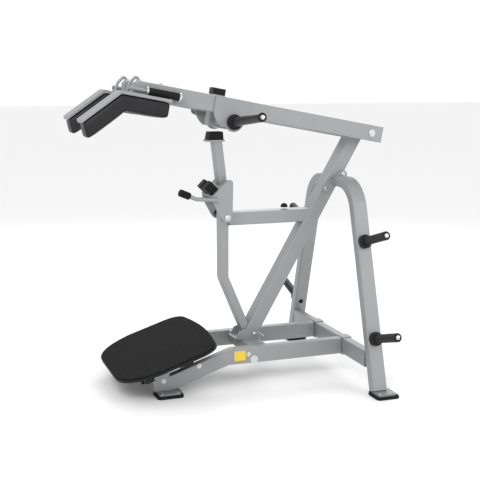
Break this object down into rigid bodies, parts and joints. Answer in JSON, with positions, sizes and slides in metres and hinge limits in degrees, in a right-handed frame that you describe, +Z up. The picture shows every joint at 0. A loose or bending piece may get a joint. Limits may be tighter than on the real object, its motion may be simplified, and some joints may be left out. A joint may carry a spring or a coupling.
{
  "type": "hack squat machine",
  "caption": "Plate-loaded squat machine with a lever arm, shoulder pads, a sloping foot platform, a swing-away rest post and plate storage pegs.",
  "frame": {"origin": "on the floor under the middle of the machine's bounding box", "axes": "+X to the rear (pivot and storage end), +Y to the right side, +Z up"},
  "size_m": [1.8196, 1.6474, 1.7838],
  "materials": {
    "frame_paint": "silver metallic powder coat, semi-gloss",
    "pad_cover": "black grained cover",
    "tread_rubber": "ribbed anti-slip mat",
    "foot_rubber": "matte moulded",
    "stop_rubber": "matte moulded",
    "grip_foam": "textured grip",
    "peg_sleeve": "satin black sleeve",
    "black_plastic": "moulded",
    "plated_steel": "zinc-plated",
    "black_paint": "black powder coat"
  },
  "bodies": {
    "frame": {"base_beam_far": "frame_paint", "base_beam_near": "frame_paint", "front_cross_tube": "frame_paint", "front_foot_far": "foot_rubber", "front_foot_near": "foot_rubber", "front_upright": "frame_paint", "mast": "frame_paint", "mast_base": "frame_paint", "mast_bolt_far": "plated_steel", "mast_bolt_near": "plated_steel", "pivot_bush_far": "black_plastic", "pivot_bush_near": "black_plastic", "platform_bracket_front": "black_paint", "platform_bracket_rear": "black_paint", "platform_deck": "black_plastic", "platform_mat": "tread_rubber", "post_bumper": "stop_rubber", "rear_cross_tube": "frame_paint", "rear_foot_far": "foot_rubber", "rear_foot_near": "foot_rubber", "rear_leg_far": "frame_paint", "rear_leg_near": "frame_paint", "storage_peg_lower_far": "peg_sleeve", "storage_peg_lower_near": "peg_sleeve", "storage_peg_upper_far": "peg_sleeve", "storage_peg_upper_near": "peg_sleeve", "upper_spar": "frame_paint"},
    "lever_arm": {"arm_cross_member": "frame_paint", "arm_far": "frame_paint", "arm_front_tube": "frame_paint", "arm_hook_far": "frame_paint", "arm_hook_near": "frame_paint", "arm_near": "frame_paint", "hand_grip_far": "grip_foam", "hand_grip_near": "grip_foam", "hand_rail_far": "frame_paint", "hand_rail_near": "frame_paint", "horn_plate_far": "frame_paint", "horn_plate_near": "frame_paint", "landing_box_cap": "black_plastic", "loading_horn_far": "peg_sleeve", "loading_horn_near": "peg_sleeve", "pad_plate_far": "frame_paint", "pad_plate_near": "frame_paint", "pivot_bolt_far": "plated_steel", "pivot_bolt_near": "plated_steel", "pivot_shaft": "plated_steel", "shoulder_pad_far": "pad_cover", "shoulder_pad_near": "pad_cover"},
    "rest_post": {"catch_block_far": "stop_rubber", "catch_block_near": "stop_rubber", "release_grip": "grip_foam", "release_handle": "frame_paint", "rest_block": "stop_rubber", "rest_post": "frame_paint", "swing_axle": "plated_steel", "swing_bolt_far": "plated_steel", "swing_bolt_near": "plated_steel", "swing_spacer_far": "black_plastic", "swing_spacer_near": "black_plastic"}
  },
  "joints": [
    {"name": "arm_pivot", "type": "hinge", "parent": "frame", "child": "lever_arm", "pos_m": [0.83058, 0, 1.452], "axis": [0, 1, 0], "range_deg": [0, 14]},
    {"name": "post_swing", "type": "hinge", "parent": "frame", "child": "rest_post", "pos_m": [-0.04742, 0, 0.98], "axis": [0, 1, 0], "range_deg": [0, 38]}
  ]
}
